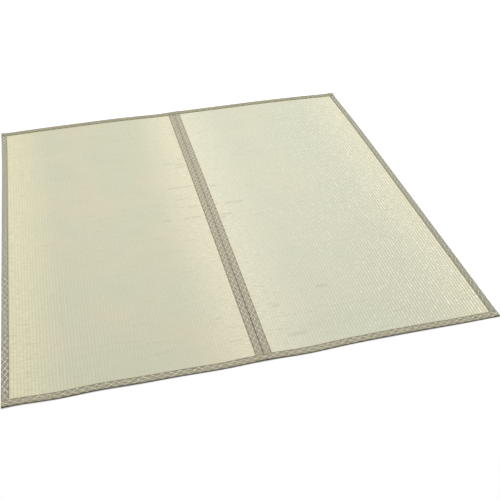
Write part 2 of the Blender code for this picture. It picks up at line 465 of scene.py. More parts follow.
@dataclass(frozen=True)
class PatternedTape:
    """Cotton edge tape, woven with a small lattice of diamonds.

    It gives the eye a matt grey-beige band, flecked with pale lines round darker diamonds, with painted
    shade down in its fold. The painted shade starts at fold_shade_from, measured round the fold from
    its top. It lies in spots fold_shade_pitch apart, with fold_shade_least of its strength between
    them, and from thins_from to thins_to on the mat it thins out to fold_shade_at_back of it. Slubs,
    each of slub_size along and across, shade the threads by up to slub_swing. In a diamond, distances
    run from 0 in its middle to 0.5 on its lines.
    """

    name: str
    cover: float
    fold_radius: float = 2.1 * MM
    repeat_along: float = 31.0 * MM
    repeat_across: float = 19.5 * MM
    # Threads are about 0.4 mm apart. They are drawn at twice that, so that they show.
    thread_pitch: float = 0.8 * MM
    line_from: float = 0.43
    line_full: float = 0.465
    ring_at: float = 0.2
    ring_range: tuple[float, float] = (0.02, 0.055)
    core_range: tuple[float, float] = (0.08, 0.14)
    core_share: float = 0.9
    inner_reach: tuple[float, float] = (0.5 * MM, 5.5 * MM)
    inner_share: float = 0.75
    outer_reach: tuple[float, float] = (-8.0 * MM, 1.5 * MM)
    outer_share: float = 0.45
    fold_shade_from: float = 3.0 * MM
    fold_shade_full: float = 4.6 * MM
    fold_shade_share: float = 0.6
    fold_shade_at_back: float = 1.0
    fold_shade_pitch: float = 9.0 * MM
    fold_shade_range: tuple[float, float] = (0.34, 0.58)
    fold_shade_least: float = 0.45
    thins_from: float = -0.3
    thins_to: float = 0.6
    slub_size: tuple[float, float] = (5.0 * MM, 3.0 * MM)
    slub_range: tuple[float, float] = (0.3, 0.7)
    slub_swing: float = 0.28
    ground: str = "7C7664"
    line: str = "E2DECC"
    core: str = "5F5A48"
    inner_shade: str = "7C765B"
    outer_shade: str = "96918A"
    fold_shade: str = "382D17"
    roughness: float = 0.88
    refraction: float = 1.47
    shine: float = 0.2
    sheen: float = 0.06
    sheen_roughness: float = 0.5
    weave_height: float = 0.5
    bump_height: float = 0.18 * MM

    def diamond_distance(self, tree: bpy.types.NodeTree, flat: bpy.types.Node) -> bpy.types.Node:
        """Lays out the lattice, thread by thread.

        Args:
            tree: The node tree.
            flat: The tape's flat map.

        Returns:
            How far a thread lies from its diamond's middle.
        """
        add = partial(add_node, tree)
        thread = add("VectorMath", (flat, (self.thread_pitch,) * 3), operation="SNAP")
        place = add("SeparateXYZ", (thread,)).outputs
        along = add("Math", (place["X"], 1 / self.repeat_along), operation="MULTIPLY")
        distances = []
        for slope in (1, -1):
            slanted = (place["Y"], slope / self.repeat_across, along)
            crossing = add("Math", slanted, operation="MULTIPLY_ADD")
            share = add("Math", (crossing,), operation="FRACT")
            centred = add("Math", (share, 0.5), operation="SUBTRACT")
            distances.append(add("Math", (centred,), operation="ABSOLUTE"))
        return add("Math", distances, operation="MAXIMUM")

    def woven_colour(self, tree: bpy.types.NodeTree, flat: bpy.types.Node) -> bpy.types.Node:
        """Colours the tape: its pattern, the shade at its two edges, and painted shade in its fold.

        Args:
            tree: The node tree.
            flat: The tape's flat map.

        Returns:
            The colour.
        """
        add = partial(add_node, tree)
        diamond = self.diamond_distance(tree, flat)
        off_ring = add("Math", (diamond, self.ring_at), operation="SUBTRACT")
        ring = add("Math", (off_ring,), operation="ABSOLUTE")
        place = add("SeparateXYZ", (flat,)).outputs
        # Painted shade down in the fold comes in spots along the tape, and thins out towards the back of
        # the mat.
        spots_along = {"W": place["X"], "Scale": 1 / self.fold_shade_pitch, "Detail": 1.0}
        spots = add("TexNoise", spots_along, noise_dimensions="1D")
        spotted = add("MapRange", (spots, *self.fold_shade_range, self.fold_shade_least))
        on_mat = add("SeparateXYZ", (add("TexCoord").outputs["Object"],)).outputs["Y"]
        thinned = add("MapRange", (on_mat, self.thins_from, self.thins_to, 1.0, self.fold_shade_at_back))

        mouth, fold_top = -self.cover / 2, self.cover / 2 - self.fold_radius
        inner = [mouth + reach for reach in self.inner_reach]
        outer = [fold_top + reach for reach in self.outer_reach]
        fold_shaded = (fold_top + self.fold_shade_from, fold_top + self.fold_shade_full)
        layers = (
            (Tint(self.core, *self.core_range, self.core_share, 0.0), diamond),
            (Tint(self.line, *self.ring_range, 1.0, 0.0), ring),
            (Tint(self.line, self.line_from, self.line_full), diamond),
            (Tint(self.inner_shade, *inner, self.inner_share, 0.0), place["Y"]),
            (Tint(self.outer_shade, *outer, 0.0, self.outer_share), place["Y"]),
            (Tint(self.fold_shade, *fold_shaded, 0.0, self.fold_shade_share), place["Y"], spotted, thinned),
        )
        colour = linear_colour(self.ground)
        for tint, *values in layers:
            colour = tint.over(tree, colour, *values)
        return colour

    def material(self) -> bpy.types.Material:
        """Builds the material. It reads a tape's flat map: along it, and across it from its middle.

        Returns:
            The material.
        """
        material, tree = new_material(self.name)
        add = partial(add_node, tree)
        flat = add("UVMap", uv_map=FLAT_MAP)
        colour = self.woven_colour(tree, flat)

        # The weave: threads along and across, each rounded, and a slub here and there.
        rate = (math.pi / self.thread_pitch,) * 3
        thread_at = add("VectorMath", (flat, rate), operation="MULTIPLY")
        waves = add("SeparateXYZ", (add("VectorMath", (thread_at,), operation="SINE"),)).outputs
        weave = add("Math", (waves["X"], waves["Y"]), operation="MULTIPLY")
        slub_scale = (1 / self.slub_size[0], 1 / self.slub_size[1], 1.0)
        slub_at = add("Mapping", {"Vector": flat, "Scale": slub_scale})
        slubs = {"Vector": slub_at, "Scale": 1.0, "Detail": 3.0}
        slub = add("TexNoise", slubs, noise_dimensions="2D")
        span = (slub, *self.slub_range, 1 - self.slub_swing, 1 + self.slub_swing)
        tone = add("VectorMath", {0: colour, "Scale": add("MapRange", span)}, operation="SCALE")
        height = add("Math", (weave, self.weave_height, slub), operation="MULTIPLY_ADD")
        bump = add("Bump", {"Strength": 1.0, "Distance": self.bump_height, "Height": height})
        surface = {
            "Base Color": tone,
            "Roughness": self.roughness,
            "IOR": self.refraction,
            "Specular IOR Level": self.shine,
            "Sheen Weight": self.sheen,
            "Sheen Roughness": self.sheen_roughness,
            "Normal": bump,
        }
        add("OutputMaterial", {"Surface": add("BsdfPrincipled", surface)})
        return material


@dataclass(frozen=True)
class SewingThread:
    """Twisted cotton sewing thread, which gives the eye small dull beads in the tape's own colour."""

    pale: str = "B4AE9A"
    deep: str = "928C78"
    twist_pitch: float = 0.9 * MM
    twist_waver: float = 1.5
    roughness: float = 0.75
    refraction: float = 1.47

    def material(self) -> bpy.types.Material:
        """Builds the material, whose twist follows the object's own coordinates.

        Returns:
            The material.
        """
        material, tree = new_material("cotton_thread_twisted")
        add = partial(add_node, tree)
        # A diagonal band of the wave texture, at a scale of 1, repeats each 2 pi / 10 of a metre.
        repeat_at_one = 2 * math.pi / 10
        twists = {
            "Vector": add("TexCoord").outputs["Object"],
            "Scale": repeat_at_one / self.twist_pitch,
            "Distortion": self.twist_waver,
            "Detail": 1.0,
        }
        twist = add("TexWave", twists, wave_type="BANDS", bands_direction="DIAGONAL")
        deep, pale = linear_colour(self.deep), linear_colour(self.pale)
        colour = add("Mix", {0: twist.outputs["Fac"], 6: deep, 7: pale}, data_type="RGBA")
        surface = {"Base Color": colour, "Roughness": self.roughness, "IOR": self.refraction}
        add("OutputMaterial", {"Surface": add("BsdfPrincipled", surface)})
        return material


@dataclass(frozen=True)
class PaintedFloor:
    """Matt white studio paint, which gives the eye an even pale ground with hardly any shine."""

    colour: str = "FEFEFD"
    speck: str = "FBFBFA"
    mottle_scale: float = 2.0
    roughness: float = 0.9
    shine: float = 0.2

    def material(self) -> bpy.types.Material:
        """Builds the material.

        Returns:
            The material.
        """
        material, tree = new_material("studio_paint_matt")
        add = partial(add_node, tree)
        place = add("TexCoord").outputs["Object"]
        mottle = add("TexNoise", {"Vector": place, "Scale": self.mottle_scale, "Detail": 2.0})
        paints = {0: mottle, 6: linear_colour(self.colour), 7: linear_colour(self.speck)}
        surface = {
            "Base Color": add("Mix", paints, data_type="RGBA"),
            "Roughness": self.roughness,
            "Specular IOR Level": self.shine,
        }
        add("OutputMaterial", {"Surface": add("BsdfPrincipled", surface)})
        return material


@dataclass(frozen=True)
class Bow:
    """A soft swell along one edge of the mat."""

    at: float
    reach: float
    stray: float

    def stray_at(self, along: float) -> float:
        """Gives the swell's stray at a place along the edge."""
        return self.stray * math.exp(-(((along - self.at) / self.reach) ** 2) / 2)


@dataclass(frozen=True)
class Lift:
    """A place where the mat stands a little off the floor."""

    x: float
    y: float
    reach: float
    height: float

    def height_at(self, x: float, y: float) -> float:
        """Gives the lift's height at a place on the floor."""
        away = ((x - self.x) ** 2 + (y - self.y) ** 2) / self.reach**2
        return self.height * math.exp(-away / 2)


@dataclass(frozen=True)
class MatLie:
    """How the mat lies: its edges stray a little from straight, and it isn't quite flat.

    A stray is in metres towards +X or +Y. All pieces are laid by the same rule, so they stay together.
    """

    front: tuple[Bow, ...] = (
        Bow(-0.84, 0.07, 0.0070),
        Bow(-0.57, 0.07, 0.0045),
        Bow(-0.15, 0.08, -0.0045),
        Bow(0.15, 0.075, -0.0055),
        Bow(0.46, 0.13, 0.0018),
        Bow(0.74, 0.07, -0.0010),
    )
    back: tuple[Bow, ...] = (
        Bow(-0.85, 0.10, -0.0085),
        Bow(-0.34, 0.13, 0.0050),
        Bow(-0.08, 0.06, -0.0035),
        Bow(0.46, 0.24, 0.0085),
        Bow(0.82, 0.06, -0.0035),
    )
    left: tuple[Bow, ...] = (Bow(0.90, 0.13, -0.0032),)
    right: tuple[Bow, ...] = (Bow(0.95, 0.22, -0.0095), Bow(-0.10, 0.45, 0.0012))
    seam: tuple[Bow, ...] = (Bow(-0.60, 0.60, -0.0028), Bow(0.95, 0.62, -0.0096))
    lifts: tuple[Lift, ...] = (
        Lift(-0.52, -0.86, 0.10, 0.0012),
        Lift(0.49, -0.86, 0.12, 0.0010),
        Lift(0.00, -0.86, 0.06, 0.0009),
        Lift(-0.84, -0.84, 0.06, 0.0010),
        Lift(0.00, 0.86, 0.08, 0.0008),
        Lift(-0.30, 0.20, 0.14, 0.0007),
        Lift(0.25, 0.30, 0.16, 0.0006),
    )

    def place(self, point: Vector) -> Vector:
        """Moves a point of the flat mat to where it lies on the floor.

        Args:
            point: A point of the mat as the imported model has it.

        Returns:
            The point where it lies.
        """
        to_back = min(1.0, max(0.0, (point.y / HALF_MAT + 1) / 2))
        to_side = min(1.0, abs(point.x) / HALF_MAT)
        side_bows = self.left if point.x < 0 else self.right
        shift_x = to_side * sum(bow.stray_at(point.y) for bow in side_bows)
        shift_x += (1 - to_side) * sum(bow.stray_at(point.y) for bow in self.seam)
        shift_y = (1 - to_back) ** 2 * sum(bow.stray_at(point.x) for bow in self.front)
        shift_y += to_back**2 * sum(bow.stray_at(point.x) for bow in self.back)
        rise = sum(lift.height_at(point.x, point.y) for lift in self.lifts)
        return point + Vector((shift_x, shift_y, rise))


def finish_piece(
    name: str, shape: bmesh.types.BMesh, finish: bpy.types.Material, sharp_angle: float
) -> bpy.types.Object:
    """Makes a piece of the mat from its finished shape, at the origin, and lets it ride on the frame.

    Args:
        name: The piece's name.
        shape: Its shape, which is freed.
        finish: Its material.
        sharp_angle: Edges that turn by more than this, in degrees, stay sharp.

    Returns:
        The piece.
    """
    bmesh.ops.recalc_face_normals(shape, faces=shape.faces)
    mesh = bpy.data.meshes.new(name)
    shape.to_mesh(mesh)
    shape.free()
    mesh.materials.append(finish)
    mesh.shade_smooth()
    mesh.set_sharp_from_angle(angle=math.radians(sharp_angle))
    piece = bpy.data.objects.new(name, mesh)
    bpy.context.scene.collection.objects.link(piece)
    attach(piece, BODY)
    triangles = sum(len(face.vertices) - 2 for face in mesh.polygons)
    LOG.info("%s: %d triangles", name, triangles)
    return piece


@dataclass(frozen=True)
class Crease:
    """A line across the rushes where the mat was once folded or pressed.

    It fades out between the two shares of its reach in ends_fade, and at fades_at widths off it.
    """

    x: float
    y: float
    reach: float
    height: float
    width: float = 4.5 * MM
    # The share of painted shade along the crease.
    crease_shade: float = 0.3
    ends_fade: tuple[float, float] = (0.75, 1.15)
    fades_at: float = 4.0

    def share_at(self, x: float, y: float) -> float:
        """Gives how much of the crease there is at a place, from 0 to 1."""
        away = abs(y - self.y) / self.width
        if away > self.fades_at:
            return 0.0
        full, gone = (share * self.reach for share in self.ends_fade)
        return (1 - smooth_step(abs(x - self.x), full, gone)) * math.exp(-away * away / 2)


@dataclass
class RushPanel:
    """One panel of woven rush: ribs along it, margins held between the folds of its tapes."""

    side: Side
    creases: tuple[Crease, ...] = ()
    fine_zones: tuple[tuple[float, float], ...] = ()
    rib_pitch: float = 11.62 * MM
    rib_relief: float = 0.8 * MM
    rib_fullness: float = 0.7
    rib_steps: int = 4
    unevenness: float = 0.14 * MM
    unevenness_length: float = 30.0 * MM
    unevenness_in_groove: float = 0.4
    rib_spread: float = 7.31
    lump_height: float = 0.25 * MM
    lump_rate: float = 9.0
    row_fine: float = 3.5 * MM
    row_coarse: float = 11.0 * MM
    margin_bottom: float = 1.3 * MM
    side_margin: float = 26.9 * MM
    end_margin: float = 28.9 * MM
    clear_of_tape: tuple[float, float] = (27.0 * MM, 45.0 * MM)
    sharp_angle: float = 20.0
    low: Vector = field(init=False)
    high: Vector = field(init=False)

    def __post_init__(self) -> None:
        """Reads the panel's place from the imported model."""
        self.low, self.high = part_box(self.node)

    @property
    def node(self) -> str:
        """The name of the panel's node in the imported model."""
        return f"rush_panel_{self.side.value}"

    @property
    def middle(self) -> float:
        """The panel's middle, across the mat."""
        return (self.low.x + self.high.x) / 2

    @property
    def rib_count(self) -> int:
        """How many whole ribs the panel has."""
        return math.floor((self.high.x - self.low.x) / self.rib_pitch)

    def columns(self) -> list[float]:
        """Places the grid lines that run along the ribs, from the panel's left edge to its right."""
        start = self.middle - self.rib_count * self.rib_pitch / 2
        steps = range(self.rib_count * self.rib_steps + 1)
        ribs = [start + step * self.rib_pitch / self.rib_steps for step in steps]
        return [self.low.x, *ribs, self.high.x]

    def rows(self) -> list[float]:
        """Places the grid lines that run across, closer together where the panel is creased."""
        lines = [self.low.y]
        while lines[-1] < self.high.y - self.row_coarse * 1.5:
            at = lines[-1]
            fine = any(start <= at < end for start, end in self.fine_zones)
            lines.append(at + (self.row_fine if fine else self.row_coarse))
        return [*lines, self.high.y]

    def inset_share(self, x: float, y: float) -> float:
        """Gives 0 under the tapes and 1 well inside the panel.

        Args:
            x: A place across the mat.
            y: A place along it.

        Returns:
            A share from 0 to 1.
        """
        from_side = min(x - self.low.x, self.high.x - x)
        from_end = min(y - self.low.y, self.high.y - y)
        return smooth_step(min(from_side, from_end), *self.clear_of_tape)

    def height(self, x: float, y: float) -> float:
        """Gives the height of the woven top at a place.

        Args:
            x: A place across the mat.
            y: A place along it.

        Returns:
            The height over the floor.
        """
        rib = (x - self.middle) / self.rib_pitch + self.rib_count / 2
        groove = self.high.z - self.rib_relief
        if not 0 < rib < self.rib_count:
            return groove
        # A point on the line between two ribs counts to the second one.
        cell = math.floor(rib + 1e-6)
        rise = max(0.0, math.sin(math.pi * (rib - cell))) ** self.rib_fullness
        uneven = noise.noise(Vector((cell * self.rib_spread, y / self.unevenness_length, 0.0)))
        soft = noise.noise(Vector((x * self.lump_rate, y * self.lump_rate, 4.0)))
        swing = self.unevenness_in_groove + (1 - self.unevenness_in_groove) * rise
        inside = self.inset_share(x, y)
        lumps = inside * (self.unevenness * uneven * swing + self.lump_height * soft)
        folds = sum(crease.height * crease.share_at(x, y) for crease in self.creases)
        return groove + self.rib_relief * rise + lumps + inside * folds

    def weave(self) -> bmesh.types.BMesh:
        """Shapes the ribbed top from a grid, and marks the painted shade along its creases.

        Returns:
            The top, as an open sheet.
        """
        columns, rows = self.columns(), self.rows()
        shape = bmesh.new()
        bmesh.ops.create_grid(
            shape, x_segments=len(columns) - 1, y_segments=len(rows) - 1, size=0.5
        )
        crease_shade = shape.verts.layers.float.new(CREASE_SHADE)
        for vert in shape.verts:
            x = columns[round((vert.co.x + 0.5) * (len(columns) - 1))]
            y = rows[round((vert.co.y + 0.5) * (len(rows) - 1))]
            vert.co = (x, y, self.height(x, y))
            marks = [crease.crease_shade * crease.share_at(x, y) for crease in self.creases]
            vert[crease_shade] = self.inset_share(x, y) * max(marks, default=0.0)
        return shape

    def close_underside(self, shape: bmesh.types.BMesh) -> None:
        """Gives the top its edge and underside, with the field inside the tapes down on the floor.

        Args:
            shape: The top, which is closed in place.
        """
        rim = [edge for edge in shape.edges if edge.is_boundary]
        skirt = bmesh.ops.extrude_edge_only(shape, edges=rim)["geom"]
        for vert in skirt:
            if isinstance(vert, bmesh.types.BMVert):
                vert.co.z = self.margin_bottom
        rim = [edge for edge in skirt if isinstance(edge, bmesh.types.BMEdge)]
        under = bmesh.ops.contextual_create(shape, geom=rim)["faces"][0]
        under.normal_update()
        if under.normal.z > 0:
            under.normal_flip()
        bmesh.ops.inset_individual(shape, faces=[under], thickness=self.side_margin)
        front, back = self.low.y + self.end_margin, self.high.y - self.end_margin
        for vert in under.verts:
            vert.co.y = max(front, min(back, vert.co.y))
        bmesh.ops.inset_individual(shape, faces=[under], thickness=0.0, depth=self.margin_bottom)

    def build(self, lie: MatLie, finish: bpy.types.Material) -> bpy.types.Object:
        """Builds and dresses the panel.

        Args:
            lie: How the mat lies.
            finish: The rush material.

        Returns:
            The piece.
        """
        shape = self.weave()
        self.close_underside(shape)
        flat = shape.loops.layers.uv.new(FLAT_MAP)
        for face in shape.faces:
            for loop in face.loops:
                loop[flat].uv = (loop.vert.co.x - self.middle, loop.vert.co.y)
        for vert in shape.verts:
            vert.co = lie.place(vert.co)
        name = f"woven_rush_{self.side.value}"
        piece = finish_piece(name, shape, finish, self.sharp_angle)
        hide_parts(self.node)
        return piece


@dataclass
class EdgeTape:
    """A tape folded round one edge of a panel, or of the mat.

    It runs along its own X, with its fold at -Y and its mouth at +Y. The crown is the swell of its
    upper face, and the dip is where the sewing draws it down: the profiles give the shape of each.
    """

    place: str
    ends: TapeEnds
    cover: float
    turn: float
    crossings: tuple[tuple[float, float], ...] = ()
    seed: int = 0
    thickness: float = 1.0 * MM
    wall: float = 1.6 * MM
    fold_radius: float = 2.1 * MM
    fold_steps: int = 9
    tuck_steps: int = 4
    tuck_flat: float = 0.1
    crown: float = 0.16 * MM
    # Shares of the cover, and of the crown there.
    crown_profile: tuple[tuple[float, float], ...] = ((0.70, 0.75), (0.48, 1.0), (0.26, 0.7))
    stitch_inset: float = 2.6 * MM
    stitch_dip: float = 0.22 * MM
    # Distances off the stitches, and shares of the dip there.
    dip_profile: tuple[tuple[float, float], ...] = ((0.9 * MM, 0.4), (0.0, 1.0), (-1.4 * MM, 0.1))
    mouth_round: tuple[float, float] = (0.35 * MM, 0.12 * MM)
    lower_round: float = 0.3 * MM
    pucker: float = 0.10 * MM
    pucker_size: tuple[float, float] = (17.0 * MM, 20.0 * MM)
    waver: float = 0.30 * MM
    waver_length: float = 60.0 * MM
    waver_from: float = 0.6
    overlap: float = 6.0 * MM
    overlap_calm: float = 20.0 * MM
    lower_cover: float = 24.0 * MM
    step: float = 5.6 * MM
    crossing_rise: float = 1.15 * MM
    crossing_slope: float = 5.0 * MM
    sharp_angle: float = 50.0
    low: Vector = field(init=False)
    high: Vector = field(init=False)

    def __post_init__(self) -> None:
        """Reads the tape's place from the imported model."""
        self.low, self.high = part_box(self.node)

    @property
    def node(self) -> str:
        """The name of the tape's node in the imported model."""
        return f"binding_{self.place}"

    @property
    def length(self) -> float:
        """The tape's length, with what runs on under the tapes that cross a cut one's ends."""
        extent = max(self.high.x - self.low.x, self.high.y - self.low.y)
        return extent + 2 * self.overlap if self.ends is TapeEnds.CUT else extent

    @property
    def lower(self) -> float:
        """How far the tape's lower leaf reaches in from the fold."""
        return self.lower_cover if self.ends is TapeEnds.TUCKED else self.cover

    @property
    def flat_width(self) -> float:
        """The width that the tape was cut to: its two leaves, and what goes round the fold."""
        round_fold = math.pi * (self.fold_radius - self.thickness / 2)
        return self.cover + self.lower - 2 * self.fold_radius + round_fold

    @property
    def top(self) -> float:
        """The height of the tape's upper face."""
        return self.high.z

    @property
    def placing(self) -> Matrix:
        """The matrix that takes the tape from its own axes to its place on the mat."""
        middle = (self.low + self.high) / 2
        outward = Matrix.Rotation(self.turn, 3, "Z") @ Vector((0.0, -1.0, 0.0))
        half_depth = min(self.high.x - self.low.x, self.high.y - self.low.y) / 2
        fold = Vector((middle.x, middle.y, 0.0)) + outward * half_depth
        return Matrix.Translation(fold) @ Matrix.Rotation(self.turn, 4, "Z")

    def section(self) -> list[tuple[float, float, bool]]:
        """Draws the tape's cross-section, once round from the wall inside its fold.

        Returns:
            Points as (across from the fold, height, whether it faces the rush).
        """
        cover, lower, top, thick = self.cover, self.lower, self.top, self.thickness
        stitched, (round_in, round_down) = cover - self.stitch_inset, self.mouth_round
        inside = [(self.wall, top / 2), (self.wall, top - thick), (cover / 2, top - thick)]
        upper = [(cover, top - 0.4 * thick), (cover - round_in, top - round_down)]
        upper += [(stitched + off, top - dip * self.stitch_dip) for off, dip in self.dip_profile]
        upper += [(share * cover, top + up * self.crown) for share, up in self.crown_profile]
        fold = []
        for count in range(self.fold_steps + 1):
            angle = math.pi * count / self.fold_steps
            across = self.fold_radius * (1 - math.sin(angle))
            fold.append((across, top / 2 + top / 2 * math.cos(angle)))
        under = [(lower / 2, 0.0), (lower - self.lower_round, 0.0), (lower, self.lower_round)]
        points = [(*point, True) for point in [*inside, (cover, top - thick)]]
        points += [(*point, False) for point in [*upper, *fold, *under]]
        points += [(lower, thick, True), (self.wall, thick, True)]
        return points

    def rise_over_crossings(self, along: float) -> float:
        """Gives how far the tape stands up at a place, where it passes over another tape's end."""
        share = 0.0
        for start, end in self.crossings:
            up = smooth_step(along, start - self.crossing_slope, start)
            down = 1 - smooth_step(along, end, end + self.crossing_slope)
            share = max(share, up * down)
        return self.crossing_rise * share

    def settle(self, point: Vector) -> Vector:
        """Moves a point of the straight tape to where sewing and use leave it, on its own axes.

        Args:
            point: A point of the straight tape.

        Returns:
            The settled point.
        """
        upper = smooth_step(point.z, self.thickness, self.top - self.thickness)
        near_mouth = smooth_step(point.y, self.waver_from * self.cover, self.cover)
        length, width = self.pucker_size
        ripple = noise.noise(Vector((point.x / length, self.seed, point.y / width)))
        stray = noise.noise(Vector((point.x / self.waver_length, self.seed, 7.0)))
        calm = 1.0
        if self.ends is TapeEnds.CUT:
            from_end = self.length / 2 - abs(point.x)
            calm = smooth_step(from_end, self.overlap, self.overlap_calm)
        over = max(0.0, point.z - self.top)
        height = point.z - over * (1 - calm)
        height += upper * (self.rise_over_crossings(point.x) + calm * self.pucker * ripple)
        return Vector((point.x, point.y + near_mouth * calm * self.waver * stray, height))

    def sweep(self) -> tuple[bmesh.types.BMesh, bmesh.types.BMLayerItem, bmesh.types.BMLayerItem]:
        """Sweeps the cross-section along the tape.

        Returns:
            The open tube, the layer with each point's place across the tape, and the layer that
            marks the points that face the rush.
        """
        shape = bmesh.new()
        across = shape.verts.layers.float.new("across")
        facing = shape.verts.layers.int.new("facing_rush")
        reach = self.length / 2 - (self.wall if self.ends is TapeEnds.TUCKED else 0.0)
        verts = []
        for distance, height, inside in self.section():
            vert = shape.verts.new((-reach, distance, height))
            vert[facing] = int(inside)
            verts.append(vert)
        edges = [shape.edges.new(pair) for pair in zip(verts, [*verts[1:], verts[0]])]
        # The place across runs round the section, from 0 in the middle of the upper face.
        places = [0.0]
        for first, second in zip(verts, verts[1:]):
            places.append(places[-1] + (second.co - first.co).length)
        crown = max(range(len(verts)), key=lambda index: verts[index].co.z)
        offset = places[crown] + verts[crown].co.y - self.cover / 2
        for vert, place in zip(verts, places):
            vert[across] = place - offset
        steps = round(2 * reach / self.step)
        bmesh.ops.spin(
            shape,
            geom=[*verts, *edges],
            cent=(0.0, 0.0, 0.0),
            axis=(1.0, 0.0, 0.0),
            dvec=(2 * reach / steps, 0.0, 0.0),
            angle=0.0,
            steps=steps,
            use_merge=False,
            use_duplicate=False,
        )
        return shape, across, facing

    def tuck(
        self,
        shape: bmesh.types.BMesh,
        rim: list[bmesh.types.BMEdge],
        facing: bmesh.types.BMLayerItem,
    ) -> None:
        """Closes one end of a tape with a rounded wall, over the hollow that holds the rush.

        Args:
            shape: The tube.
            rim: The edges round its open end.
            facing: The layer that marks the points that face the rush.
        """
        # The two points where the hollow meets the outside close it between them.
        turns = [edge for edge in rim if edge.verts[0][facing] != edge.verts[1][facing]]
        facing_both = {vert for edge in turns for vert in edge.verts if vert[facing]}
        corners = [vert for vert in {vert for edge in rim for vert in edge.verts} if vert in facing_both]
        bridge = shape.edges.new(corners)
        hollow = [edge for edge in rim if all(vert[facing] for vert in edge.verts)]
        bmesh.ops.contextual_create(shape, geom=[*hollow, bridge])
        loop = [edge for edge in rim if edge not in hollow] + [bridge]
        outward = math.copysign(1.0, corners[0].co.x)
        middle, start, squeeze = self.top / 2, abs(corners[0].co.x), 1.0
        for count in range(1, self.tuck_steps + 1):
            angle = math.pi / 2 * count / self.tuck_steps
            made = bmesh.ops.extrude_edge_only(shape, edges=loop)["geom"]
            loop = [item for item in made if isinstance(item, bmesh.types.BMEdge)]
            narrower = self.tuck_flat + (1 - self.tuck_flat) * math.cos(angle)
            for vert in made:
                if isinstance(vert, bmesh.types.BMVert):
                    vert.co.x = outward * (start + self.wall * math.sin(angle))
                    vert.co.z = middle + (vert.co.z - middle) * narrower / squeeze
            squeeze = narrower
        bmesh.ops.contextual_create(shape, geom=loop)

    def build(self, lie: MatLie, finish: bpy.types.Material) -> bpy.types.Object:
        """Builds and dresses the tape.

        Args:
            lie: How the mat lies.
            finish: The tape material.

        Returns:
            The piece.
        """
        shape, across, facing = self.sweep()
        for end in (-1, 1):
            rim = [
                edge for edge in shape.edges
                if edge.is_boundary and all(vert.co.x * end > 0 for vert in edge.verts)
            ]
            if self.ends is TapeEnds.TUCKED:
                self.tuck(shape, rim, facing)
            else:
                bmesh.ops.contextual_create(shape, geom=rim)
        flat = shape.loops.layers.uv.new(FLAT_MAP)
        for face in shape.faces:
            for loop in face.loops:
                loop[flat].uv = (loop.vert.co.x, loop.vert[across])
        for vert in shape.verts:
            vert.co = lie.place(self.placing @ self.settle(vert.co))
        shape.verts.layers.float.remove(shape.verts.layers.float["across"])
        shape.verts.layers.int.remove(shape.verts.layers.int["facing_rush"])
        name = f"edge_tape_{self.place}"
        piece = finish_piece(name, shape, finish, self.sharp_angle)
        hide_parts(self.node)
        return piece


@dataclass(frozen=True)
class Stitch:
    """One stitch of thread, long and round, with its ends drawn down into the cloth."""

    length: float
    width: float
    height: float
    sides: int = 6
    rings: int = 4
    sharp_angle: float = 60.0

    def repeat(
        self, count: int, pitch: float
    ) -> tuple[bmesh.types.BMesh, list[tuple[float, list[bmesh.types.BMVert]]]]:
        """Lays a row of stitches along X, about the origin.

        Args:
            count: How many stitches there are.
            pitch: From one stitch to the next.

        Returns:
            The row, and for each stitch its place along the row and its points.
        """
        shape = bmesh.new()
        first = -(count - 1) / 2 * pitch
        size = Matrix.Diagonal((self.height / 2, self.width / 2, self.length / 2, 1.0))
        lying = Matrix.Rotation(math.pi / 2, 4, "Y")
        bmesh.ops.create_uvsphere(
            shape,
            u_segments=self.sides,
            v_segments=self.rings,
            radius=1.0,
            matrix=Matrix.Translation((first, 0.0, 0.0)) @ lying @ size,
        )
        bmesh.ops.spin(
            shape,
            geom=[*shape.verts, *shape.edges, *shape.faces],
            cent=(0.0, 0.0, 0.0),
            axis=(1.0, 0.0, 0.0),
            dvec=(pitch, 0.0, 0.0),
            angle=0.0,
            steps=count - 1,
            use_merge=False,
            use_duplicate=True,
        )
        stitches = [((number - (count - 1) / 2) * pitch, []) for number in range(count)]
        for vert in shape.verts:
            stitches[round((vert.co.x - first) / pitch)][1].append(vert)
        return shape, stitches


@dataclass
class StitchRow:
    """A row of machine stitches along the inner edge of a tape."""

    tape: EdgeTape
    pitch: float = 5.5 * MM
    stitch: Stitch = Stitch(4.5 * MM, 0.65 * MM, 0.5 * MM)
    proud: float = 0.09 * MM
    skew: tuple[float, float] = (1.0, 7.0)

    def build(self, lie: MatLie, finish: bpy.types.Material) -> bpy.types.Object:
        """Builds and dresses the row.

        Args:
            lie: How the mat lies.
            finish: The thread material.

        Returns:
            The piece.
        """
        tape, draw = self.tape, random.Random(self.tape.seed)
        usable = tape.length - 2 * (tape.overlap + self.stitch.length)
        shape, stitches = self.stitch.repeat(math.floor(usable / self.pitch), self.pitch)
        for along, verts in stitches:
            surface = Vector((along, tape.cover - tape.stitch_inset, tape.top - tape.stitch_dip))
            centre = tape.settle(surface) + Vector((0.0, 0.0, self.proud))
            skew = Matrix.Rotation(math.radians(draw.uniform(*self.skew)), 4, "Z")
            to_own_middle = Matrix.Translation((-along, 0.0, 0.0))
            laid = tape.placing @ Matrix.Translation(centre) @ skew @ to_own_middle
            for vert in verts:
                vert.co = lie.place(laid @ vert.co)
        name = f"stitches_{tape.place}"
        return finish_piece(name, shape, finish, self.stitch.sharp_angle)


